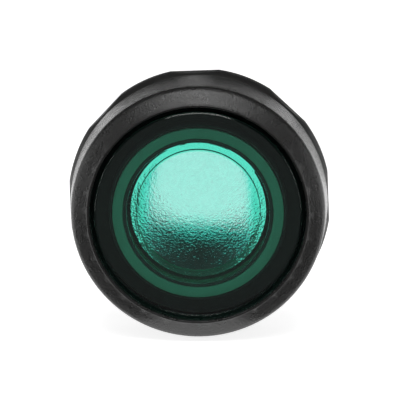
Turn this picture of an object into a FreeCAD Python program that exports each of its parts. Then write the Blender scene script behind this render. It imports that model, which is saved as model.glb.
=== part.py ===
import FreeCAD, Part
import math
import os

# Flush illuminated pushbutton operator for a 22 mm panel hole.
# The button axis is Y. The front faces -Y, the panel's front face is the plane y = 0, and +Z is up.
# All sizes are in millimetres. Depths are y values, and grow towards the rear.

# Barrel and panel interface
THREAD_CREST_DIAMETER = 22.0
THREAD_DEPTH = 0.6
BARREL_WALL = 0.7
REGISTER_LENGTH = 0.9
BARREL_LENGTH = 12.4
NECK_STEP = 0.2
NECK_LENGTH = 7.2
NIB_WIDTH = 3.0
NIB_HEIGHT = 1.6

# Bezel ring
BEZEL_FACE_WIDTH = 2.25
BEZEL_CONE_HEIGHT = 1.2
BEZEL_EDGE_ROUNDING = 0.9
SKIRT_LENGTH = 6.6
SKIRT_GROWTH = 0.4
SKIRT_WALL = 1.4
LIP_WIDTH = 0.42
LIP_HEIGHT = 0.16
LIP_CHAMFER = 0.1

# Housing flange, gasket, boot and clamp ring, stacked inside the bezel ring
GASKET_THICKNESS = 0.7
GASKET_MARGIN = 0.6
FLANGE_THICKNESS = 0.9
CLAMP_THICKNESS = 0.9
BOOT_BEAD_THICKNESS = 0.8
BOOT_SLEEVE_WALL = 0.4

# Fixing nut
NUT_THICKNESS = 2.8
NUT_PROUD = 0.37
NUT_FLATS = 8
NUT_FLAT_DEPTH = 0.27
NUT_TURN = 2.1
NUT_CHAMFER = 0.45
NUT_CHAMFER_ANGLE = 65.0
NUT_POCKETS = 8
NUT_POCKET_DEPTH = 1.5
NUT_RIB_WIDTH = 1.2
NUT_HUB_WALL = 2.2
NUT_RIM_WALL = 1.3

# Lens cap
LENS_OVERHANG = 2.15
LENS_GAP = 0.5
LENS_THICKNESS = 1.6
LENS_CHAMFER = 0.2
COLLAR_WALL = 1.2
COLLAR_LENGTH = 2.4
HOOKS = 4
HOOK_ANGLE = 24.0
HOOK_WALL = 0.6
HOOK_BARB = 0.18
HOOK_BARB_LENGTH = 0.6

# Light tube, which is the plunger, and the diffuser in its front end
TRAVEL = 3.8
TUBE_WALL = 0.85
TUBE_INSET = 1.2
DIFFUSER_POCKET_WALL = 0.35
DIFFUSER_LENGTH = 3.2
DIFFUSER_RIM_WALL = 1.15
DIFFUSER_DISH_DEPTH = 0.6
LENS_SEAL_THICKNESS = 0.4
KEY_WIDTH = 5.0
KEY_HEIGHT = 0.45

# Return spring, its retainer and the guide that it pushes against
SPRING_ROOM = 0.85
SPRING_WIRE = 0.5
SPRING_TURNS = 5
SPRING_RUNS_PER_TURN = 20
SPRING_SIDES = 6
RETAINER_OFFSET = 2.35
RETAINER_THICKNESS = 1.0
RETAINER_GROOVE = 0.35
RETAINER_GAP_ANGLE = 34.0
GUIDE_LENGTH = 8.0
GUIDE_WEB = 1.2

# Bayonet slots for the contact block holder
BAYONETS = 2
BAYONET_DEPTH = 0.45
BAYONET_WIDTH = 1.8
BAYONET_INSET = 1.4
BAYONET_ENTRY_ANGLE = 18.0
BAYONET_RUN_ANGLE = 46.0

# Clearances
RUNNING = 0.07
KEY_GAP = 0.1
SEAT_GAP = 0.05
STOP_GAP = 0.05
LOOSE = 0.15
SLEEVE_GAP = 0.4
PRESSED_GAP = 0.2

# Radii, from the panel thread inwards and then out to the bezel
THREAD_CREST = THREAD_CREST_DIAMETER / 2
THREAD_ROOT = THREAD_CREST - THREAD_DEPTH
NECK = THREAD_ROOT - NECK_STEP
BARREL_BORE = THREAD_ROOT - BARREL_WALL
TUBE_OUTER = BARREL_BORE - SPRING_ROOM
TUBE_BORE = TUBE_OUTER - TUBE_WALL
DIFFUSER_POCKET = TUBE_OUTER - DIFFUSER_POCKET_WALL
DIFFUSER = DIFFUSER_POCKET - SEAT_GAP
GUIDE_BORE = TUBE_OUTER + RUNNING
KEY_TIP = TUBE_OUTER + KEY_HEIGHT
RETAINER_SEAT = TUBE_OUTER - RETAINER_GROOVE
RETAINER_OUTER = BARREL_BORE - LOOSE
SPRING_MEAN = (BARREL_BORE + TUBE_OUTER) / 2
COLLAR_INNER = TUBE_OUTER + SEAT_GAP
COLLAR_OUTER = COLLAR_INNER + COLLAR_WALL
COLLAR_POCKET = COLLAR_OUTER + LOOSE
LENS = COLLAR_OUTER + LENS_OVERHANG
MOUTH = LENS + LENS_GAP
BEZEL = MOUTH + BEZEL_FACE_WIDTH
SKIRT_REAR = BEZEL + SKIRT_GROWTH
NUT_RIM = SKIRT_REAR + NUT_PROUD
NUT_FLAT = NUT_RIM - NUT_FLAT_DEPTH
FLANGE_POCKET = SKIRT_REAR - SKIRT_WALL
FLANGE = FLANGE_POCKET - SEAT_GAP
NIB_TIP = THREAD_CREST + NIB_HEIGHT

# Depths, from the panel face forwards and then back to the rear end
GASKET_FRONT = -GASKET_THICKNESS
FLANGE_FRONT = GASKET_FRONT - FLANGE_THICKNESS
BEAD_FRONT = FLANGE_FRONT - BOOT_BEAD_THICKNESS
CLAMP_FRONT = BEAD_FRONT - CLAMP_THICKNESS
BEZEL_EDGE = GASKET_FRONT - SKIRT_LENGTH
BEZEL_FRONT = BEZEL_EDGE - BEZEL_CONE_HEIGHT
LENS_BACK = BEZEL_FRONT + LENS_THICKNESS
TUBE_FRONT = LENS_BACK + LENS_SEAL_THICKNESS
COLLAR_BACK = LENS_BACK + COLLAR_LENGTH
COLLAR_POCKET_BACK = COLLAR_BACK + TRAVEL + PRESSED_GAP
LEDGE = LENS_BACK + DIFFUSER_LENGTH
BARB_FRONT = LEDGE + LOOSE
HOOK_BACK = BARB_FRONT + HOOK_BARB_LENGTH
RETAINER_FRONT = HOOK_BACK + RETAINER_OFFSET
RETAINER_BACK = RETAINER_FRONT + RETAINER_THICKNESS
NECK_REAR = BARREL_LENGTH + NECK_LENGTH
GUIDE_FRONT = NECK_REAR - GUIDE_LENGTH
KEY_SLOT_FRONT = GUIDE_FRONT + GUIDE_WEB
KEY_FRONT = KEY_SLOT_FRONT + STOP_GAP
TUBE_REAR = NECK_REAR - TUBE_INSET

ORIGIN = FreeCAD.Vector(0, 0, 0)
TO_REAR = FreeCAD.Vector(0, 1, 0)
TURN_AXIS = FreeCAD.Vector(0, -1, 0)
OVERSHOOT = 1.0


def rounded_corner(before, here, after, rounding):
    """Points of the two straight runs that stand for the rounding of one corner."""
    back = before - here
    ahead = after - here
    half_angle = back.getAngle(ahead) / 2
    reach = min(rounding / math.tan(half_angle), back.Length / 2, ahead.Length / 2)
    radius = reach * math.tan(half_angle)
    back.normalize()
    ahead.normalize()
    bisector = back + ahead
    bisector.normalize()
    middle = here + bisector * (radius / math.sin(half_angle) - radius)
    return [here + back * reach, middle, here + ahead * reach]


def section(corners):
    """Closed face through (radius, depth) corners; a third number rounds that corner."""
    points = [FreeCAD.Vector(corner[0], corner[1], 0) for corner in corners]
    outline = []
    for index, corner in enumerate(corners):
        if len(corner) > 2:
            after = points[(index + 1) % len(points)]
            outline += rounded_corner(points[index - 1], points[index], after, corner[2])
        else:
            outline.append(points[index])
    return Part.Face(Part.makePolygon(outline + outline[:1]))


def turned_ring(corners):
    """Solid of revolution about the button axis."""
    return section(corners).revolve(ORIGIN, TURN_AXIS, 360)


def ring(inner, outer, front, rear):
    """Plain ring between two radii and two depths."""
    return turned_ring([(inner, front), (outer, front), (outer, rear), (inner, rear)])


def plug(radius, front, rear):
    """Plain cylinder on the button axis."""
    return Part.makeCylinder(radius, rear - front, ORIGIN + TO_REAR * front, TO_REAR)


def arc_block(inner, outer, front, rear, centre_angle, width_angle):
    """Part of a ring, centred on an angle counted from +X towards +Z."""
    face = section([(inner, front), (outer, front), (outer, rear), (inner, rear)])
    block = face.revolve(ORIGIN, TURN_AXIS, width_angle)
    block.rotate(ORIGIN, TURN_AXIS, centre_angle - width_angle / 2)
    return block


def cross_bar(width, reach, front, rear):
    """Bar along X through the axis, its ends rounded to one radius."""
    corner = FreeCAD.Vector(-reach, front, -width / 2)
    return Part.makeBox(2 * reach, rear - front, width, corner).common(plug(reach, front, rear))


def top_nib(width, reach, front, rear):
    """Upright block from the axis to a reach above it."""
    return Part.makeBox(width, rear - front, reach, FreeCAD.Vector(-width / 2, front, 0))


def bezel_ring():
    """Front ring: drafted skirt, rounded conical face and a fine raised lip round the mouth."""
    lip_outer = MOUTH + LIP_WIDTH
    return turned_ring([
        (MOUTH, BEZEL_FRONT + LIP_CHAMFER),
        (MOUTH + LIP_CHAMFER, BEZEL_FRONT),
        (lip_outer - LIP_CHAMFER, BEZEL_FRONT),
        (lip_outer, BEZEL_FRONT + LIP_HEIGHT),
        (BEZEL, BEZEL_EDGE, BEZEL_EDGE_ROUNDING),
        (SKIRT_REAR, GASKET_FRONT),
        (FLANGE_POCKET, GASKET_FRONT),
        (FLANGE_POCKET, CLAMP_FRONT),
        (MOUTH, CLAMP_FRONT),
    ])


def bayonet_slot(angle):
    """J-shaped slot in the neck: an entry from the rear and a run round the neck."""
    floor = NECK - BAYONET_DEPTH
    outside = NECK + OVERSHOOT
    run_rear = NECK_REAR - BAYONET_INSET
    run_front = run_rear - BAYONET_WIDTH
    entry = arc_block(floor, outside, run_front, NECK_REAR + OVERSHOOT, angle, BAYONET_ENTRY_ANGLE)
    run_centre = angle + (BAYONET_RUN_ANGLE - BAYONET_ENTRY_ANGLE) / 2
    run = arc_block(floor, outside, run_front, run_rear, run_centre, BAYONET_RUN_ANGLE)
    return entry.fuse(run)


def barrel_nib():
    """Nib on top of the register that keeps the operator from turning in the panel's notch."""
    block = top_nib(NIB_WIDTH, NIB_TIP, GASKET_FRONT, REGISTER_LENGTH)
    inside = plug((COLLAR_POCKET + THREAD_CREST) / 2, GASKET_FRONT - OVERSHOOT, NECK_REAR)
    return block.cut(inside)


def housing():
    """Moulded body: flange, register, barrel, neck, and the guide for the light tube."""
    body = turned_ring([
        (COLLAR_POCKET, FLANGE_FRONT),
        (FLANGE, FLANGE_FRONT),
        (FLANGE, GASKET_FRONT),
        (THREAD_CREST, GASKET_FRONT),
        (THREAD_CREST, REGISTER_LENGTH),
        (THREAD_ROOT, REGISTER_LENGTH),
        (THREAD_ROOT, BARREL_LENGTH),
        (NECK, BARREL_LENGTH),
        (NECK, NECK_REAR),
        (GUIDE_BORE, NECK_REAR),
        (GUIDE_BORE, GUIDE_FRONT),
        (BARREL_BORE, GUIDE_FRONT),
        (BARREL_BORE, COLLAR_POCKET_BACK),
        (COLLAR_POCKET, COLLAR_POCKET_BACK),
    ])
    body = body.fuse(barrel_nib())
    slot_width = KEY_WIDTH + 2 * KEY_GAP
    body = body.cut(cross_bar(slot_width, KEY_TIP + KEY_GAP, KEY_SLOT_FRONT, NECK_REAR + OVERSHOOT))
    for number in range(BAYONETS):
        body = body.cut(bayonet_slot(90 + number * 360 / BAYONETS))
    return body.removeSplitter()


def panel_gasket():
    """Flat rubber gasket under the flange, with a notch for the nib."""
    body = ring(THREAD_CREST + LOOSE, SKIRT_REAR - GASKET_MARGIN, GASKET_FRONT, 0)
    return body.cut(top_nib(NIB_WIDTH + 2 * LOOSE, NIB_TIP + LOOSE, GASKET_FRONT - OVERSHOOT, OVERSHOOT))


def flats_prism():
    """Regular prism whose sides cut the flats of the nut, turned as the nut stands on the barrel."""
    corner_radius = NUT_FLAT / math.cos(math.pi / NUT_FLATS)
    corners = []
    for number in range(NUT_FLATS + 1):
        angle = (number + 0.5) * 2 * math.pi / NUT_FLATS + math.radians(NUT_TURN)
        corners.append(FreeCAD.Vector(corner_radius * math.cos(angle), 0, corner_radius * math.sin(angle)))
    return Part.Face(Part.makePolygon(corners)).extrude(TO_REAR * NUT_THICKNESS)


def fixing_nut():
    """Round nut with a long front chamfer and shallow flats, relieved for the nib and cored behind."""
    bore = THREAD_ROOT + SEAT_GAP
    chamfer_run = NUT_CHAMFER * math.tan(math.radians(NUT_CHAMFER_ANGLE))
    body = turned_ring([
        (bore, 0),
        (NUT_RIM - NUT_CHAMFER, 0),
        (NUT_RIM, chamfer_run),
        (NUT_RIM, NUT_THICKNESS),
        (bore, NUT_THICKNESS),
    ]).common(flats_prism())
    body = body.cut(plug(NIB_TIP + LOOSE, -OVERSHOOT, REGISTER_LENGTH + LOOSE))
    pocket_inner = bore + NUT_HUB_WALL
    pocket_outer = NUT_FLAT - NUT_RIM_WALL
    pocket_front = NUT_THICKNESS - NUT_POCKET_DEPTH
    step = 360 / NUT_POCKETS
    pocket_angle = step - math.degrees(NUT_RIB_WIDTH / pocket_inner)
    for number in range(NUT_POCKETS):
        centre = NUT_TURN + (number + 0.5) * step
        rear = NUT_THICKNESS + OVERSHOOT
        body = body.cut(arc_block(pocket_inner, pocket_outer, pocket_front, rear, centre, pocket_angle))
    return body


def boot_clamp_ring():
    """Ring that presses the boot's bead on the flange and fills the pocket behind the bezel."""
    return ring(MOUTH, FLANGE, CLAMP_FRONT, BEAD_FRONT)


def sealing_boot():
    """Soft boot: a thin sleeve round the lens collar and a bead held between flange and clamp ring."""
    sleeve_inner = COLLAR_OUTER + SEAT_GAP
    sleeve_outer = sleeve_inner + BOOT_SLEEVE_WALL
    sleeve_front = LENS_BACK + SLEEVE_GAP
    return turned_ring([
        (sleeve_inner, sleeve_front),
        (sleeve_outer, sleeve_front),
        (sleeve_outer, BEAD_FRONT),
        (FLANGE, BEAD_FRONT),
        (FLANGE, FLANGE_FRONT),
        (sleeve_inner, FLANGE_FRONT),
    ])


def lens_hook(angle):
    """Springy finger behind the collar, with a barb that drops into the tube's groove."""
    root = COLLAR_BACK - COLLAR_LENGTH / 2
    finger = arc_block(COLLAR_INNER, COLLAR_INNER + HOOK_WALL, root, HOOK_BACK, angle, HOOK_ANGLE)
    barb = arc_block(COLLAR_INNER - HOOK_BARB, COLLAR_INNER, BARB_FRONT, HOOK_BACK, angle, HOOK_ANGLE)
    return finger.fuse(barb)


def lens_cap():
    """Clear coloured cap: flat face, collar and snap hooks."""
    body = turned_ring([
        (0, BEZEL_FRONT),
        (LENS - LENS_CHAMFER, BEZEL_FRONT),
        (LENS, BEZEL_FRONT + LENS_CHAMFER),
        (LENS, LENS_BACK),
        (COLLAR_OUTER, LENS_BACK),
        (COLLAR_OUTER, COLLAR_BACK),
        (COLLAR_INNER, COLLAR_BACK),
        (COLLAR_INNER, LENS_BACK),
        (0, LENS_BACK),
    ])
    for number in range(HOOKS):
        body = body.fuse(lens_hook((number + 0.5) * 360 / HOOKS))
    return body.removeSplitter()


def lens_seal():
    """Flat seal between the lens cap's back and the front end of the light tube."""
    return ring(DIFFUSER_POCKET, TUBE_OUTER, LENS_BACK, TUBE_FRONT)


def diffuser_cup():
    """Thick clear disc that fills the tube's pocket, with a shallow dish in its back."""
    front = LENS_BACK + SEAT_GAP
    dish = DIFFUSER - DIFFUSER_RIM_WALL
    dish_floor = LEDGE - DIFFUSER_DISH_DEPTH
    return turned_ring([
        (0, front),
        (DIFFUSER, front),
        (DIFFUSER, LEDGE),
        (dish, LEDGE),
        (dish, dish_floor),
        (0, dish_floor),
    ])


def light_tube():
    """Hollow plunger: diffuser pocket, ledge, snap grooves and two guide keys at the rear."""
    groove_front = BARB_FRONT - SEAT_GAP
    groove_back = HOOK_BACK + SEAT_GAP
    body = turned_ring([
        (DIFFUSER_POCKET, TUBE_FRONT),
        (TUBE_OUTER, TUBE_FRONT),
        (TUBE_OUTER, groove_front),
        (TUBE_OUTER - HOOK_BARB, groove_front),
        (TUBE_OUTER - HOOK_BARB, groove_back),
        (TUBE_OUTER, groove_back),
        (TUBE_OUTER, RETAINER_FRONT),
        (RETAINER_SEAT, RETAINER_FRONT),
        (RETAINER_SEAT, RETAINER_BACK),
        (TUBE_OUTER, RETAINER_BACK),
        (TUBE_OUTER, TUBE_REAR),
        (TUBE_BORE, TUBE_REAR),
        (TUBE_BORE, LEDGE),
        (DIFFUSER_POCKET, LEDGE),
    ])
    keys = cross_bar(KEY_WIDTH, KEY_TIP, KEY_FRONT, TUBE_REAR)
    keys = keys.cut(plug((TUBE_BORE + TUBE_OUTER) / 2, KEY_FRONT - OVERSHOOT, TUBE_REAR + OVERSHOOT))
    return body.fuse(keys).removeSplitter()


def spring_retainer():
    """Split snap ring in the tube's groove; the return spring pushes on its back."""
    body = ring(RETAINER_SEAT + SEAT_GAP, RETAINER_OUTER, RETAINER_FRONT, RETAINER_BACK)
    return body.cut(arc_block(0, BARREL_BORE, RETAINER_FRONT, RETAINER_BACK, 270, RETAINER_GAP_ANGLE))


def spring_point(turn):
    """Centre of the wire after so many turns, with one closed coil at each end."""
    front = RETAINER_BACK + SPRING_WIRE / 2
    rear = GUIDE_FRONT - SPRING_WIRE / 2
    closed = SPRING_WIRE * (min(turn, 1) + max(turn - SPRING_TURNS + 1, 0))
    open_share = min(max((turn - 1) / (SPRING_TURNS - 2), 0), 1)
    depth = front + closed + (rear - front - 2 * SPRING_WIRE) * open_share
    angle = 2 * math.pi * turn
    return FreeCAD.Vector(SPRING_MEAN * math.cos(angle), depth, SPRING_MEAN * math.sin(angle))


def return_spring():
    """Compression spring between its retainer and the guide, in short straight runs to keep it light."""
    runs = SPRING_TURNS * SPRING_RUNS_PER_TURN
    points = [spring_point(run / SPRING_RUNS_PER_TURN) for run in range(runs + 1)]
    path = Part.makePolygon(points)
    circle = Part.Circle(points[0], points[1] - points[0], SPRING_WIRE / 2)
    corners = [circle.value(2 * math.pi * side / SPRING_SIDES) for side in range(SPRING_SIDES)]
    wire_section = Part.makePolygon(corners + corners[:1])
    return path.makePipeShell([wire_section], True, False, 1)


NODES = {
    "bezel_ring": bezel_ring,
    "housing": housing,
    "panel_gasket": panel_gasket,
    "fixing_nut": fixing_nut,
    "boot_clamp_ring": boot_clamp_ring,
    "sealing_boot": sealing_boot,
    "lens_cap": lens_cap,
    "lens_seal": lens_seal,
    "diffuser_cup": diffuser_cup,
    "light_tube": light_tube,
    "spring_retainer": spring_retainer,
    "return_spring": return_spring,
}

os.makedirs("parts", exist_ok=True)
for name, make in NODES.items():
    shape = make()
    shape.exportStep("parts/" + name + ".step")
    print(name, "solids", len(shape.Solids), "valid", shape.isValid(), "volume", round(shape.Volume, 2))
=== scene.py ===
import math

import bpy
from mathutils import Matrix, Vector


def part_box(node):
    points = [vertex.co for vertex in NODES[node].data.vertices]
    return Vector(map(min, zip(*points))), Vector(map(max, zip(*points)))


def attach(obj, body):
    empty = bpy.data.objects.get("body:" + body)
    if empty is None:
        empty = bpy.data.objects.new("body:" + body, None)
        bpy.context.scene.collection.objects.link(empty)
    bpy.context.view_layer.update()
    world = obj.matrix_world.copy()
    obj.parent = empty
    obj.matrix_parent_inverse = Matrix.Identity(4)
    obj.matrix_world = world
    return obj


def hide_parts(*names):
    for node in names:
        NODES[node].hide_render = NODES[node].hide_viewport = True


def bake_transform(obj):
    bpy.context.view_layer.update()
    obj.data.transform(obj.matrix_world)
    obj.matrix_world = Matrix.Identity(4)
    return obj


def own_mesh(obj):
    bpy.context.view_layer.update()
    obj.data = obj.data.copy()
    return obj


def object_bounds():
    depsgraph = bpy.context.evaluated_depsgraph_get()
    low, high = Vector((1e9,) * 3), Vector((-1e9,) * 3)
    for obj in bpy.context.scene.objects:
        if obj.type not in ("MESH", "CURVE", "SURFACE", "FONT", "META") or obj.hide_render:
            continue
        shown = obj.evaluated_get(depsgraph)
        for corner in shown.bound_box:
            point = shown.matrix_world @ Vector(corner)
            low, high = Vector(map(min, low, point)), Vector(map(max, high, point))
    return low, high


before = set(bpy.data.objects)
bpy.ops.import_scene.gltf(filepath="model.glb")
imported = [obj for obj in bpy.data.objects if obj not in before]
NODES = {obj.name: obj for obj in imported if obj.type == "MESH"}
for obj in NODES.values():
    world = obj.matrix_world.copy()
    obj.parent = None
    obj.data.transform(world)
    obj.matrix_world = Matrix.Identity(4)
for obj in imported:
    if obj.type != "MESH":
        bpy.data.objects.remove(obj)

CAD_LOW, CAD_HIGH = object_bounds()

# The button axis is Y, the front faces -Y and the panel's front face is the plane y = 0.
MM = 0.001

# Pieces that are turned about the button axis
TURNED_STEPS = 160
FULL_TURN = [2 * math.pi * step / TURNED_STEPS for step in range(TURNED_STEPS)]

# Rounding of sharp edges
WELD_DISTANCE = 0.001 * MM
EDGE_SEGMENTS = 3
SHARP_ANGLE = math.radians(30)
FACE_WEIGHT = 80
EDGE_WIDTHS = {
    "bezel_ring": 0.1 * MM,
    "housing": 0.08 * MM,
    "boot_clamp_ring": 0.08 * MM,
    "fixing_nut": 0.12 * MM,
    "light_tube": 0.06 * MM,
    "spring_retainer": 0.08 * MM,
    "panel_gasket": 0.08 * MM,
    "lens_seal": 0.05 * MM,
    "diffuser_cup": 0.06 * MM,
    "barrel_thread": 0.05 * MM,
    "lens_face": 0.1 * MM,
    "lens_collar": 0.04 * MM,
    "lens_hook": 0.04 * MM,
}

# Barrel thread, which stands on the plain barrel that the frame holds
THREAD_ROOT = 10.4 * MM
THREAD_CREST = 11.0 * MM
THREAD_PITCH = 1.5 * MM
THREAD_START = 2.2 * MM
THREAD_END = 11.9 * MM
THREAD_CREST_WIDTH = 0.3 * MM
THREAD_FOOT_WIDTH = 1.15 * MM
THREAD_SINK = 0.05 * MM
THREAD_STEPS = 96
THREAD_RUN_OUT_TURNS = 0.25
THREAD_LEAST_RISE = 0.02

# Return spring
SPRING_LOW, SPRING_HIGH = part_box("return_spring")
SPRING_WIRE = 0.5 * MM
SPRING_TURNS = 5
SPRING_STEPS = 72
SPRING_SIDES = 12
SPRING_EASE = 0.25
SMALL_TURN = 0.001

# Sealing boot
BOOT_LOW, BOOT_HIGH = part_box("sealing_boot")
BOOT_INNER = 10.15 * MM
BOOT_WALL = 0.4 * MM
BOOT_BEAD = 0.8 * MM
BOOT_ROUNDING = 0.12 * MM
BOOT_RIBS = 4
BOOT_RIB_HEIGHT = 0.16 * MM
BOOT_STEPS = 32

# Lens: a clear face, and a matt collar with snap hooks behind it
LENS_LOW, LENS_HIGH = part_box("lens_cap")
LENS_THICKNESS = 1.6 * MM
LENS_CHAMFER = 0.2 * MM
COLLAR_INNER = 8.9 * MM
COLLAR_OUTER = 10.1 * MM
COLLAR_LENGTH = 2.4 * MM
COLLAR_GAP = 0.01 * MM
HOOKS = 4
HOOK_ANGLE = math.radians(24)
HOOK_WALL = 0.6 * MM
HOOK_BARB = 0.18 * MM
HOOK_BARB_LENGTH = 0.6 * MM
HOOK_STEPS = 10

# Black mouldings; the bezel's skirt behind its front edge is smoother than its face
BEZEL_EDGE = -7.3 * MM
SKIRT_BLEND = 0.5 * MM
SKIRT_POLISH = 0.13
MOULDED_IOR = 1.5
MOTTLE_SIZE = 2.5 * MM
MOTTLE_RANGE = (0.3, 0.7)
CELL_SIZE_IN_GRAINS = 1.6
CELL_SHARE = 0.6
MOULDINGS = {
    "bezel_plastic": {
        "dark": (0.013, 0.013, 0.013), "light": (0.02, 0.02, 0.019), "roughness": 0.28, "spread": 0.03,
        "grain": 0.15 * MM, "height": 0.045 * MM, "specular": 0.8, "smooth_behind": BEZEL_EDGE,
    },
    "housing_plastic": {
        "dark": (0.014, 0.014, 0.014), "light": (0.02, 0.02, 0.02), "roughness": 0.38, "spread": 0.1,
        "grain": 0.3 * MM, "height": 0.006 * MM, "specular": 0.5,
    },
    "nut_plastic": {
        "dark": (0.014, 0.014, 0.014), "light": (0.022, 0.022, 0.021), "roughness": 0.5, "spread": 0.1,
        "grain": 0.14 * MM, "height": 0.02 * MM, "specular": 0.5,
    },
    "tube_plastic": {
        "dark": (0.008, 0.008, 0.008), "light": (0.012, 0.012, 0.012), "roughness": 0.5, "spread": 0.05,
        "grain": 0.25 * MM, "height": 0.006 * MM, "specular": 0.1,
    },
}

# Rubbers and spring steel; a roughness goes from its first to its second value across the noise
NOISE_RANGE = (0.2, 0.8)
RUBBER_BLACK = (0.012, 0.012, 0.012)
RUBBER_BLOOM = 1.5
RUBBER_ROUGHNESS = (0.6, 0.8)
BLOOM_SIZE = 1.2 * MM
RUBBER_GRAIN = 0.2 * MM
RUBBER_GRAIN_HEIGHT = 0.008 * MM
STEEL_DARK = (0.5, 0.5, 0.48)
STEEL_LIGHT = (0.68, 0.68, 0.66)
STEEL_ROUGHNESS = (0.2, 0.38)
DRAWN_SIZE = 0.15 * MM
DRAWN_HEIGHT = 0.003 * MM

# Lens plastic, where a tint is what white turns into through the whole piece
POLISHED = 0.02
LENS_TINT = (0.61, 0.94, 0.85)
LENS_IOR = 1.585
RIPPLE_SIZE = 3.0 * MM
RIPPLE_HEIGHT = 0.004 * MM
COLLAR_DARK = (0.05, 0.15, 0.11)
COLLAR_LIGHT = (0.062, 0.18, 0.135)
COLLAR_ROUGHNESS = 0.6
COLLAR_CLOUD = 1.5 * MM
COLLAR_GRAIN = 0.25 * MM
COLLAR_GRAIN_HEIGHT = 0.02 * MM

# Diffuser: its back shows a deep green everywhere, dimmer at the left and right, and in the middle a paler
# green that is painted highlight, standing in for the over-exposed light seen through; each through its own
# grain.
# A lean is the slope of the slight wedge that each grain stands on.
DIFFUSER_IOR = 1.49
DIFFUSER_SHADOW_TINT = (0.8, 1, 0.95)
FRONT_BAND = 0.12 * MM
DISH_RADIUS = 7.3 * MM
DISH_BLEND = 0.3 * MM
DISH_DEPTH = 0.6 * MM
WALL_MARGIN = 0.005 * MM
WALL_COLOUR = (0.01, 0.16, 0.11)
# Painted highlight: the paler tints and their share stand in for over-exposed light seen through the middle
# of the diffuser, not for a paler plastic.
PAINTED_HIGHLIGHT_SHARE = 0.5
PAINTED_HIGHLIGHT_REACH = 6.9 * MM
PAINTED_HIGHLIGHT_BLEND = 1.6 * MM
PAINTED_HIGHLIGHT_TINT = (0.85, 0.3, 0.39)
PAINTED_HIGHLIGHT_STREAK_TINT = (1.0, 0.42, 0.53)
PALE_GRAIN = 0.22 * MM
PALE_HEIGHT = 0.038 * MM
PALE_LEAN = 0.16
STREAK_RANGE = (0.35, 0.65)
DEEP_TINT = (0.0034, 1.0, 0.76)
DEEP_SIDE_TINT = (0.01, 0.45, 0.3)
DEEP_GRAIN = 0.21 * MM
DEEP_HEIGHT = 0.068 * MM
DEEP_LEAN = 0.06
WEDGE_REACH = 6.5 * MM
RIM_TINT = (0.024, 0.66, 0.46)
RIM_GLOW = (0.03, 0.42, 0.25)
RIM_GLOW_SHARE = 0.12
SWELL_START = 4.5 * MM
SWELL_CURVE = 30.0

# Camera, from the photograph
VIEW_ELEVATION = math.radians(10.7)
VIEW_AZIMUTH = math.radians(1.1)
VIEW_DISTANCE = 400 * MM
PIXELS = 400
PIXELS_PER_M = 8490.0
EDGE_PIXEL = (198.0, 213.1)
EDGE_CENTRE = Vector((0, BEZEL_EDGE, 0))
SENSOR = 36.0

# Floor, whose front part starts at a seam of (x, y) points just under the object
FLOOR_COLOUR = (0.8, 0.8, 0.8, 1)
FLOOR_LIFT = 0.8
FLOOR_GAP = 0.02 * MM
FLOOR_REACH = 3.0
FLOOR_SEAM = [
    (-FLOOR_REACH, -5 * MM), (-13 * MM, -5 * MM), (-5 * MM, -10 * MM),
    (5 * MM, -10 * MM), (13 * MM, -5 * MM), (FLOOR_REACH, -5 * MM),
]

# Light levels, where 1 is white, and the parts of a direction between which backdrop and card fade in
WHITE = (1, 1, 1, 1)
SKY_LEVEL = 0.35
ROOM_LEVEL = 0.03
CARD_LEVEL = 0.1
BACKDROP_BEHIND = (-0.25, 0.2)
BACKDROP_LOW = (0.25, 0.05)
CARD_AHEAD = (-0.85, -0.98)
SOFTBOXES = {
    "top_softbox": {"place": (0, -0.16, 0.25), "width": 0.2, "depth": 0.2, "level": 3.0},
    "left_softbox": {"place": (-0.3, -0.06, 0.05), "width": 0.08, "depth": 0.2, "level": 2.0},
    "right_softbox": {"place": (0.3, -0.06, 0.05), "width": 0.08, "depth": 0.2, "level": 2.0},
}


def feed(tree, socket, value):
    """Sets an input to a constant, or links it to the socket that feeds it."""
    if isinstance(value, bpy.types.NodeSocket):
        tree.links.new(value, socket)
    else:
        socket.default_value = value


def add(tree, kind, settings=None, **inputs):
    """New shader node; an input is a constant or the socket that feeds it."""
    node = tree.nodes.new(kind)
    for key, value in (settings or {}).items():
        setattr(node, key, value)
    for key, value in inputs.items():
        feed(tree, node.inputs[key.replace("_", " ")], value)
    return node


def maths(tree, operation, first, second=0.0):
    """Result of one maths node."""
    node = add(tree, "ShaderNodeMath", {"operation": operation})
    feed(tree, node.inputs[0], first)
    feed(tree, node.inputs[1], second)
    return node.outputs[0]


def product(tree, first, *others):
    """Product of two or more values."""
    for other in others:
        first = maths(tree, "MULTIPLY", first, other)
    return first


def less(tree, first, second):
    """First value less the second."""
    return maths(tree, "SUBTRACT", first, second)


def between(tree, value, start, end, low=0.0, high=1.0):
    """Smooth step of a value between two limits."""
    node = add(tree, "ShaderNodeMapRange", {"interpolation_type": "SMOOTHSTEP"},
               Value=value, From_Min=start, From_Max=end, To_Min=low, To_Max=high)
    return node.outputs[0]


def new_material(name):
    """Empty material, its tree and its output node."""
    material = bpy.data.materials.new(name)
    material.use_nodes = True
    tree = material.node_tree
    tree.nodes.clear()
    return material, tree, tree.nodes.new("ShaderNodeOutputMaterial")


def place_on(tree):
    """Place on the piece that has the material."""
    return add(tree, "ShaderNodeTexCoord").outputs["Object"]


def parts_of(tree, vector):
    """X, Y and Z of a vector."""
    return add(tree, "ShaderNodeSeparateXYZ", Vector=vector).outputs


def radius_of(tree, parts):
    """Distance of a place from the button axis."""
    square = maths(tree, "ADD", maths(tree, "POWER", parts["X"], 2.0),
                   maths(tree, "POWER", parts["Z"], 2.0))
    return maths(tree, "SQRT", square)


def noise(tree, place, size, detail=2.0, roughness=0.5):
    """Noise value whose features are about so many metres across."""
    node = add(tree, "ShaderNodeTexNoise", Vector=place, Scale=1 / size, Detail=detail,
               Roughness=roughness)
    return node.outputs["Fac"]


def bump(tree, height, distance):
    """Normal of a surface whose height, from 0 to 1, is worth so many metres."""
    return add(tree, "ShaderNodeBump", Height=height, Distance=distance).outputs[0]


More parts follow.
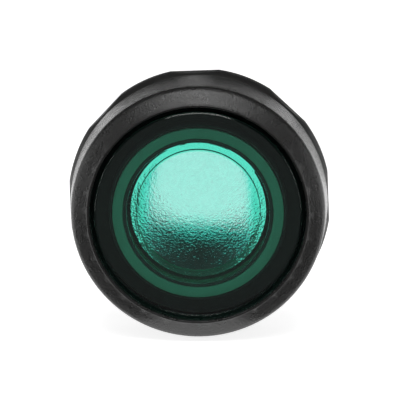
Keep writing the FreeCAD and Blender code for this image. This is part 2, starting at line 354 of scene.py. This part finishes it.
def shade(tree, factor, first, second):
    """Colour between two colours, each a constant or a socket."""
    node = add(tree, "ShaderNodeMix", {"data_type": "RGBA"}, Factor=factor)
    for socket, colour in ((node.inputs[6], first), (node.inputs[7], second)):
        feed(tree, socket, colour if isinstance(colour, bpy.types.NodeSocket) else (*colour, 1))
    return node.outputs[2]


def mixed(tree, share, first, second):
    """Mix of two shaders."""
    mix = add(tree, "ShaderNodeMixShader", Fac=share)
    tree.links.new(first, mix.inputs[1])
    tree.links.new(second, mix.inputs[2])
    return mix.outputs[0]


def moulded_plastic(name, dark, light, roughness, spread, grain, height, specular, smooth_behind=None):
    """Black moulding: mottled colour, uneven gloss and a spark-eroded grain, smoother behind a depth."""
    material, tree, output = new_material(name)
    place = place_on(tree)
    mottle = noise(tree, place, MOTTLE_SIZE, detail=4.0)
    pits = noise(tree, place, grain, detail=3.0, roughness=0.6)
    cells = add(tree, "ShaderNodeTexVoronoi", {"feature": "SMOOTH_F1"}, Vector=place,
                Scale=1 / (CELL_SIZE_IN_GRAINS * grain), Smoothness=0.6).outputs["Distance"]
    surface = maths(tree, "ADD", pits, product(tree, cells, CELL_SHARE))
    gloss = between(tree, mottle, *MOTTLE_RANGE, roughness - spread, roughness + spread)
    if smooth_behind is not None:
        depth = parts_of(tree, place)["Y"]
        worn = between(tree, depth, smooth_behind, smooth_behind + SKIRT_BLEND, 0.0, SKIRT_POLISH)
        gloss = less(tree, gloss, worn)
    shader = add(tree, "ShaderNodeBsdfPrincipled", Base_Color=shade(tree, mottle, dark, light),
                 Roughness=gloss, Normal=bump(tree, surface, height), IOR=MOULDED_IOR)
    shader.inputs["Specular IOR Level"].default_value = specular
    tree.links.new(shader.outputs[0], output.inputs[0])
    return material


def soft_rubber(name):
    """Matt black rubber with a faint bloom."""
    material, tree, output = new_material(name)
    place = place_on(tree)
    bloom = noise(tree, place, BLOOM_SIZE, detail=5.0, roughness=0.6)
    grain = bump(tree, noise(tree, place, RUBBER_GRAIN), RUBBER_GRAIN_HEIGHT)
    lighter = [RUBBER_BLOOM * channel for channel in RUBBER_BLACK]
    shader = add(tree, "ShaderNodeBsdfPrincipled", Base_Color=shade(tree, bloom, RUBBER_BLACK, lighter),
                 Roughness=between(tree, bloom, *NOISE_RANGE, *RUBBER_ROUGHNESS), Normal=grain)
    tree.links.new(shader.outputs[0], output.inputs[0])
    return material


def spring_steel():
    """Drawn steel wire with fine unevenness."""
    material, tree, output = new_material("spring_steel")
    place = place_on(tree)
    drawn = noise(tree, place, DRAWN_SIZE, detail=4.0, roughness=0.7)
    shader = add(tree, "ShaderNodeBsdfPrincipled", Metallic=1.0,
                 Base_Color=shade(tree, drawn, STEEL_DARK, STEEL_LIGHT),
                 Roughness=between(tree, drawn, *NOISE_RANGE, *STEEL_ROUGHNESS),
                 Normal=bump(tree, drawn, DRAWN_HEIGHT))
    tree.links.new(shader.outputs[0], output.inputs[0])
    return material


def let_light_through(tree, shader, tint):
    """Lets lamps and soft light through a clear piece, tinted by it."""
    path = add(tree, "ShaderNodeLightPath").outputs
    soft = maths(tree, "MAXIMUM", path["Is Shadow Ray"], path["Is Diffuse Ray"])
    see_through = add(tree, "ShaderNodeBsdfTransparent", Color=(*tint, 1))
    return mixed(tree, soft, shader, see_through.outputs[0])


def glass(tree, tint, ior, normal=None):
    """Polished clear plastic, tinted by its two faces together."""
    colour = tint if isinstance(tint, bpy.types.NodeSocket) else (*tint, 1)
    shader = add(tree, "ShaderNodeBsdfPrincipled", Base_Color=colour, Roughness=POLISHED, IOR=ior)
    shader.inputs["Transmission Weight"].default_value = 1.0
    if normal:
        tree.links.new(normal, shader.inputs["Normal"])
    return shader.outputs[0]


def lens_green():
    """Polished clear green plastic with faint ripples from the mould."""
    material, tree, output = new_material("lens_green")
    place = place_on(tree)
    ripple = bump(tree, noise(tree, place, RIPPLE_SIZE), RIPPLE_HEIGHT)
    clear = glass(tree, LENS_TINT, LENS_IOR, ripple)
    tree.links.new(let_light_through(tree, clear, LENS_TINT), output.inputs[0])
    return material


def collar_green():
    """The lens plastic where it is left matt from the mould, behind the face."""
    material, tree, output = new_material("collar_green")
    place = place_on(tree)
    cloud = noise(tree, place, COLLAR_CLOUD, detail=3.0)
    grain = bump(tree, noise(tree, place, COLLAR_GRAIN), COLLAR_GRAIN_HEIGHT)
    shader = add(tree, "ShaderNodeBsdfPrincipled", Base_Color=shade(tree, cloud, COLLAR_DARK, COLLAR_LIGHT),
                 Roughness=COLLAR_ROUGHNESS, IOR=LENS_IOR, Normal=grain)
    tree.links.new(shader.outputs[0], output.inputs[0])
    return material


def grained_back(tree, place, size, height, lean):
    """Height of a grained surface on a slight wedge, weaker at the sides, that bends what shows through."""
    parts = parts_of(tree, place)
    outward = maths(tree, "DIVIDE", maths(tree, "ABSOLUTE", parts["X"]), WEDGE_REACH)
    wedge = product(tree, less(tree, 1.0, maths(tree, "POWER", outward, 2.0)), lean)
    grain = product(tree, noise(tree, place, size, detail=1.5), height)
    return maths(tree, "ADD", grain, product(tree, parts["Z"], wedge))


def swelling(tree, radius):
    """Height that rises towards the rim and bends the view there to the axis."""
    outside = maths(tree, "MAXIMUM", less(tree, radius, SWELL_START), 0.0)
    return product(tree, outside, outside, SWELL_CURVE)


def diffuser_back(tree, place, parts, radius):
    """Shader of the diffuser's back: deep green, dimmer at the left and right, with a paler tint in the
    middle that is painted highlight for the over-exposed light seen through, and a faint glow in its rim.
    """
    dish = between(tree, radius, DISH_RADIUS, DISH_RADIUS - DISH_BLEND)
    across = maths(tree, "ABSOLUTE", parts["X"])
    middle = between(tree, across, PAINTED_HIGHLIGHT_REACH, PAINTED_HIGHLIGHT_REACH - PAINTED_HIGHLIGHT_BLEND)

    pebbles = maths(tree, "ADD", grained_back(tree, place, DEEP_GRAIN, DEEP_HEIGHT, DEEP_LEAN),
                    swelling(tree, radius))
    tint = shade(tree, dish, RIM_TINT, shade(tree, middle, DEEP_SIDE_TINT, DEEP_TINT))
    deep = glass(tree, tint, DIFFUSER_IOR, bump(tree, pebbles, 1.0))

    # Painted highlight: a paler glass, mixed in across the middle, stands in for over-exposed light seen
    # through.
    fine = grained_back(tree, place, PALE_GRAIN, PALE_HEIGHT, PALE_LEAN)
    streaks = between(tree, noise(tree, place, PALE_GRAIN, detail=3.0), *STREAK_RANGE)
    painted_highlight = glass(tree, shade(tree, streaks, PAINTED_HIGHLIGHT_TINT, PAINTED_HIGHLIGHT_STREAK_TINT), DIFFUSER_IOR, bump(tree, fine, 1.0))

    back = mixed(tree, product(tree, dish, middle, PAINTED_HIGHLIGHT_SHARE), deep, painted_highlight)
    glow = add(tree, "ShaderNodeBsdfDiffuse", Color=(*RIM_GLOW, 1)).outputs[0]
    return mixed(tree, product(tree, less(tree, 1.0, dish), RIM_GLOW_SHARE), back, glow)


def diffuser_clear():
    """Clear diffuser: polished in front, pebbled behind, and frosted on the wall round its dish."""
    material, tree, output = new_material("diffuser_clear")
    place = place_on(tree)
    parts = parts_of(tree, place)
    radius = radius_of(tree, parts)
    front_face, rear_face = (corner.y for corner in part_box("diffuser_cup"))
    behind = maths(tree, "GREATER_THAN", parts["Y"], front_face + FRONT_BAND)
    wall = product(tree,
                   maths(tree, "GREATER_THAN", parts["Y"], rear_face - DISH_DEPTH + WALL_MARGIN),
                   maths(tree, "LESS_THAN", radius, DISH_RADIUS + EDGE_WIDTHS["diffuser_cup"]))
    frosted = add(tree, "ShaderNodeBsdfDiffuse", Color=(*WALL_COLOUR, 1)).outputs[0]
    back = mixed(tree, wall, diffuser_back(tree, place, parts, radius), frosted)
    front = glass(tree, (1, 1, 1), DIFFUSER_IOR)
    lit = let_light_through(tree, mixed(tree, behind, front, back), DIFFUSER_SHADOW_TINT)
    tree.links.new(lit, output.inputs[0])
    return material


def mesh_piece(name, points, faces, material):
    """Smooth-shaded mesh object."""
    mesh = bpy.data.meshes.new(name)
    mesh.from_pydata(points, [], faces)
    mesh.update()
    mesh.polygons.foreach_set("use_smooth", [True] * len(mesh.polygons))
    piece = bpy.data.objects.new(name, mesh)
    bpy.context.scene.collection.objects.link(piece)
    piece.data.materials.append(material)
    return piece


def ring_faces(rings, sides, closed):
    """Quads that join rings of points into a tube, with flat ends or as a closed loop."""
    faces = []
    last = rings if closed else rings - 1
    for ring in range(last):
        ahead = (ring + 1) % rings
        for side in range(sides):
            beside = (side + 1) % sides
            faces.append((ring * sides + side, ahead * sides + side,
                          ahead * sides + beside, ring * sides + beside))
    if not closed:
        faces.append(tuple(range(sides)))
        faces.append(tuple((rings - 1) * sides + side for side in reversed(range(sides))))
    return faces


def on_axis(radius, angle, depth):
    """Point at a radius and an angle, from +X towards +Z, round the button axis."""
    return Vector((radius * math.cos(angle), depth, radius * math.sin(angle)))


def turned(outline, angles):
    """Points of an outline of (radius, depth), turned to one angle after another."""
    return [on_axis(radius, angle, depth) for angle in angles for radius, depth in outline]


def round_edges(piece, width):
    """Rounds the sharp edges of a piece and keeps its flat faces flat in the shading."""
    weld = piece.modifiers.new("weld", "WELD")
    weld.merge_threshold = WELD_DISTANCE
    bevel = piece.modifiers.new("edges", "BEVEL")
    bevel.width = width
    bevel.segments = EDGE_SEGMENTS
    bevel.limit_method = "ANGLE"
    bevel.angle_limit = SHARP_ANGLE
    bevel.miter_outer = "MITER_ARC"
    normals = piece.modifiers.new("normals", "WEIGHTED_NORMAL")
    normals.weight = FACE_WEIGHT


def barrel_thread(material):
    """Helical ridge that stands on the barrel and runs out at both ends."""
    turns = (THREAD_END - THREAD_START) / THREAD_PITCH
    steps = int(turns * THREAD_STEPS)
    foot = THREAD_ROOT - THREAD_SINK
    points = []
    for step in range(steps + 1):
        turn = turns * step / steps
        rise = min(1.0, turn / THREAD_RUN_OUT_TURNS, (turns - turn) / THREAD_RUN_OUT_TURNS)
        crest = foot + (THREAD_CREST - foot) * max(rise, THREAD_LEAST_RISE)
        centre = THREAD_START + turn * THREAD_PITCH
        section = [
            (foot, centre - THREAD_FOOT_WIDTH / 2),
            (crest, centre - THREAD_CREST_WIDTH / 2),
            (crest, centre + THREAD_CREST_WIDTH / 2),
            (foot, centre + THREAD_FOOT_WIDTH / 2),
        ]
        points += turned(section, [2 * math.pi * turn])
    piece = mesh_piece("barrel_thread", points, ring_faces(steps + 1, len(section), False), material)
    round_edges(piece, EDGE_WIDTHS["barrel_thread"])
    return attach(piece, "root")


def spring_centre(turn):
    """Centre of the wire after so many turns, with one closed coil at each end."""
    front = SPRING_LOW.y + SPRING_WIRE / 2
    rear = SPRING_HIGH.y - SPRING_WIRE / 2
    closed = SPRING_WIRE * (min(turn, 1) + max(turn - SPRING_TURNS + 1, 0))
    share = min(max((turn - 1) / (SPRING_TURNS - 2), 0), 1)
    eased = share * share * (3 - 2 * share)
    share = eased * SPRING_EASE + share * (1 - SPRING_EASE)
    depth = front + closed + (rear - front - 2 * SPRING_WIRE) * share
    return on_axis(SPRING_HIGH.x - SPRING_WIRE / 2, 2 * math.pi * turn, depth)


def spring_coil(material):
    """Round-wire compression spring."""
    steps = SPRING_TURNS * SPRING_STEPS
    points = []
    for step in range(steps + 1):
        turn = step / SPRING_STEPS
        centre = spring_centre(turn)
        along = spring_centre(turn + SMALL_TURN) - spring_centre(turn - SMALL_TURN)
        outward = Vector((centre.x, 0, centre.z)).normalized()
        across = along.normalized().cross(outward)
        for side in range(SPRING_SIDES):
            angle = 2 * math.pi * side / SPRING_SIDES
            points.append(centre + (outward * math.cos(angle) + across * math.sin(angle)) * SPRING_WIRE / 2)
    piece = mesh_piece("spring_coil", points, ring_faces(steps + 1, SPRING_SIDES, False), material)
    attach(piece, "root")
    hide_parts("return_spring")
    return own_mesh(piece)


def boot_outline():
    """Section of the boot as (radius, depth): a ribbed sleeve and the bead behind it."""
    front = BOOT_LOW.y
    bead_front = BOOT_HIGH.y - BOOT_BEAD
    outer = BOOT_INNER + BOOT_WALL
    outline = [(BOOT_INNER, front + BOOT_ROUNDING), (BOOT_INNER + BOOT_ROUNDING, front)]
    for step in range(BOOT_STEPS + 1):
        share = step / BOOT_STEPS
        dip = BOOT_RIB_HEIGHT * (1 + math.cos(2 * math.pi * BOOT_RIBS * share)) / 2
        outline.append((outer - dip, front + (bead_front - front) * share))
    return outline + [
        (BOOT_HIGH.x - BOOT_ROUNDING, bead_front),
        (BOOT_HIGH.x, bead_front + BOOT_ROUNDING),
        (BOOT_HIGH.x, BOOT_HIGH.y - BOOT_ROUNDING),
        (BOOT_HIGH.x - BOOT_ROUNDING, BOOT_HIGH.y),
        (BOOT_INNER, BOOT_HIGH.y),
    ]


def boot_bellows(material):
    """Soft sealing boot between the housing and the lens."""
    outline = boot_outline()
    piece = mesh_piece("boot_bellows", turned(outline, FULL_TURN),
                       ring_faces(TURNED_STEPS, len(outline), True), material)
    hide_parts("sealing_boot")
    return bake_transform(piece)


def lens_face(clear, back):
    """Clear face of the lens cap, which stands for the cap."""
    rim = LENS_HIGH.x
    outline = [(rim - LENS_CHAMFER, LENS_LOW.y), (rim, LENS_LOW.y + LENS_CHAMFER), (rim, back)]
    points = [on_axis(radius, angle, depth) for radius, depth in outline for angle in FULL_TURN]
    face = mesh_piece("lens_face", points, ring_faces(len(outline), TURNED_STEPS, False), clear)
    round_edges(face, EDGE_WIDTHS["lens_face"])
    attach(face, "button")
    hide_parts("lens_cap")


def lens_collar(matt, front, back):
    """Matt collar behind the face, a hair clear of it so that each shell is closed by itself."""
    section = [(COLLAR_INNER, front), (COLLAR_OUTER, front), (COLLAR_OUTER, back), (COLLAR_INNER, back)]
    collar = mesh_piece("lens_collar", turned(section, FULL_TURN),
                        ring_faces(TURNED_STEPS, len(section), True), matt)
    round_edges(collar, EDGE_WIDTHS["lens_collar"])
    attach(collar, "button")


def lens_hook(matt, number, root):
    """One snap hook behind the lens collar, with its barb turned inward."""
    barb_front = LENS_HIGH.y - HOOK_BARB_LENGTH
    section = [(COLLAR_INNER, root), (COLLAR_INNER, barb_front), (COLLAR_INNER - HOOK_BARB, barb_front),
               (COLLAR_INNER - HOOK_BARB, LENS_HIGH.y), (COLLAR_INNER + HOOK_WALL, LENS_HIGH.y),
               (COLLAR_INNER + HOOK_WALL, root)]
    middle = 2 * math.pi * (number - 0.5) / HOOKS
    angles = [middle + HOOK_ANGLE * (step / HOOK_STEPS - 0.5) for step in range(HOOK_STEPS + 1)]
    hook = mesh_piece("lens_hook_" + str(number), turned(section, angles),
                      ring_faces(len(angles), len(section), False), matt)
    round_edges(hook, EDGE_WIDTHS["lens_hook"])
    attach(hook, "button")


def lens_pieces(clear, matt):
    """The lens cap as a clear face and a matt collar with its hooks, all on the button."""
    face_back = LENS_LOW.y + LENS_THICKNESS
    collar_back = face_back + COLLAR_LENGTH
    lens_face(clear, face_back)
    lens_collar(matt, face_back + COLLAR_GAP, collar_back)
    for number in range(1, HOOKS + 1):
        lens_hook(matt, number, collar_back)


def dress(material, *names):
    """Finish and edge rounding of CAD nodes."""
    for name in names:
        piece = NODES[name]
        piece.data.materials.clear()
        piece.data.materials.append(material)
        piece.data.polygons.foreach_set("use_smooth", [True] * len(piece.data.polygons))
        round_edges(piece, EDGE_WIDTHS[name])


def dress_frame():
    """Finishes of every CAD node, and the pieces that stand on them or for them."""
    moulded = {name: moulded_plastic(name, **finish) for name, finish in MOULDINGS.items()}
    dress(moulded["bezel_plastic"], "bezel_ring")
    dress(moulded["housing_plastic"], "housing", "boot_clamp_ring")
    dress(moulded["nut_plastic"], "fixing_nut")
    dress(moulded["tube_plastic"], "light_tube", "spring_retainer")
    dress(soft_rubber("gasket_rubber"), "panel_gasket", "lens_seal")
    dress(diffuser_clear(), "diffuser_cup")
    barrel_thread(moulded["housing_plastic"])
    spring_coil(spring_steel())
    boot_bellows(soft_rubber("boot_silicone"))
    lens_pieces(lens_green(), collar_green())


def ray_kinds(tree):
    """Rays that see the white background, by eye or straight through glass, and rays that bounced."""
    path = add(tree, "ShaderNodeLightPath").outputs
    bounces = maths(tree, "ADD", path["Glossy Depth"], path["Diffuse Depth"])
    straight = product(tree, path["Is Transmission Ray"], maths(tree, "LESS_THAN", bounces, 0.5))
    seen = maths(tree, "MAXIMUM", path["Is Camera Ray"], straight)
    glossy = maths(tree, "MAXIMUM", path["Is Glossy Ray"], path["Is Transmission Ray"])
    return seen, product(tree, glossy, less(tree, 1.0, seen))


def white_floor():
    """Pale floor that keeps the object's shadow but shows as white elsewhere."""
    material, tree, output = new_material("floor_white")
    matt = add(tree, "ShaderNodeBsdfDiffuse", Color=FLOOR_COLOUR)
    seen, bounced = ray_kinds(tree)
    lift = add(tree, "ShaderNodeEmission", Color=WHITE,
               Strength=product(tree, maths(tree, "ADD", seen, bounced), FLOOR_LIFT))
    total = add(tree, "ShaderNodeAddShader")
    tree.links.new(matt.outputs[0], total.inputs[0])
    tree.links.new(lift.outputs[0], total.inputs[1])
    tree.links.new(total.outputs[0], output.inputs[0])
    return material


def plane(name, outline, height, material):
    """Flat stage plane with the given outline of (x, y) points."""
    mesh = bpy.data.meshes.new(name)
    mesh.from_pydata([(x, y, height) for x, y in outline], [], [tuple(range(len(outline)))])
    piece = bpy.data.objects.new(name, mesh)
    bpy.context.scene.collection.objects.link(piece)
    mesh.materials.append(material)
    return piece


def stage_floor():
    """Floor in two planes: the part in front of the object isn't seen in gloss, like a dark room."""
    material = white_floor()
    height = CAD_LOW.z - FLOOR_GAP
    rear_corners = [(FLOOR_REACH, FLOOR_REACH), (-FLOOR_REACH, FLOOR_REACH)]
    front_corners = [(-FLOOR_REACH, -FLOOR_REACH), (FLOOR_REACH, -FLOOR_REACH)]
    plane("floor_behind", FLOOR_SEAM + rear_corners, height, material)
    front = plane("floor_front", FLOOR_SEAM[::-1] + front_corners, height, material)
    front.visible_glossy = False
    front.visible_transmission = False


def studio_world():
    """White to the eye and through glass; in gloss, a white backdrop low behind and a dark room ahead."""
    world = bpy.data.worlds.new("studio")
    bpy.context.scene.world = world
    world.use_nodes = True
    tree = world.node_tree
    tree.nodes.clear()
    output = tree.nodes.new("ShaderNodeOutputWorld")
    parts = parts_of(tree, add(tree, "ShaderNodeTexCoord").outputs["Generated"])
    backdrop = product(tree, between(tree, parts["Y"], *BACKDROP_BEHIND),
                       between(tree, parts["Z"], *BACKDROP_LOW))
    card = between(tree, parts["Y"], *CARD_AHEAD, 0.0, CARD_LEVEL)
    room = maths(tree, "ADD", backdrop, maths(tree, "ADD", card, ROOM_LEVEL))
    seen, bounced = ray_kinds(tree)
    mirrored = product(tree, bounced, less(tree, room, SKY_LEVEL))
    strength = maths(tree, "MAXIMUM", seen, maths(tree, "ADD", mirrored, SKY_LEVEL))
    shader = add(tree, "ShaderNodeBackground", Color=WHITE, Strength=strength)
    tree.links.new(shader.outputs[0], output.inputs[0])


def softbox(name, place, width, depth, level):
    """Area lamp aimed at the origin; level is how bright its face looks, where 1 is white."""
    light = bpy.data.lights.new(name, "AREA")
    light.shape = "RECTANGLE"
    light.size = width
    light.size_y = depth
    light.energy = level * math.pi * width * depth
    lamp = bpy.data.objects.new(name, light)
    bpy.context.scene.collection.objects.link(lamp)
    lamp.location = place
    lamp.rotation_mode = "QUATERNION"
    lamp.rotation_quaternion = (-Vector(place)).to_track_quat("-Z", "Y")


def light_the_stage():
    """Floor, surroundings and three soft lamps, above and beside the front."""
    stage_floor()
    studio_world()
    for name, lamp in SOFTBOXES.items():
        softbox(name, **lamp)


def photo_camera():
    """Camera at the photograph's view, with the bezel's edge at its pixel."""
    camera = bpy.data.cameras.new("camera")
    camera.sensor_width = SENSOR
    camera.lens = SENSOR * VIEW_DISTANCE * PIXELS_PER_M / PIXELS
    camera.clip_start = 0.01
    camera.clip_end = 20
    eye = bpy.data.objects.new("camera", camera)
    bpy.context.scene.collection.objects.link(eye)
    back = Vector((math.sin(VIEW_AZIMUTH) * math.cos(VIEW_ELEVATION),
                   -math.cos(VIEW_AZIMUTH) * math.cos(VIEW_ELEVATION), math.sin(VIEW_ELEVATION)))
    turn = (-back).to_track_quat("-Z", "Y")
    right = turn @ Vector((1, 0, 0))
    up = turn @ Vector((0, 1, 0))
    centre = PIXELS / 2
    offset = right * (centre - EDGE_PIXEL[0]) + up * (EDGE_PIXEL[1] - centre)
    eye.rotation_mode = "QUATERNION"
    eye.rotation_quaternion = turn
    eye.location = EDGE_CENTRE + back * VIEW_DISTANCE + offset / PIXELS_PER_M
    bpy.context.scene.camera = eye


bpy.context.scene.view_settings.view_transform = "Standard"
dress_frame()
light_the_stage()
photo_camera()
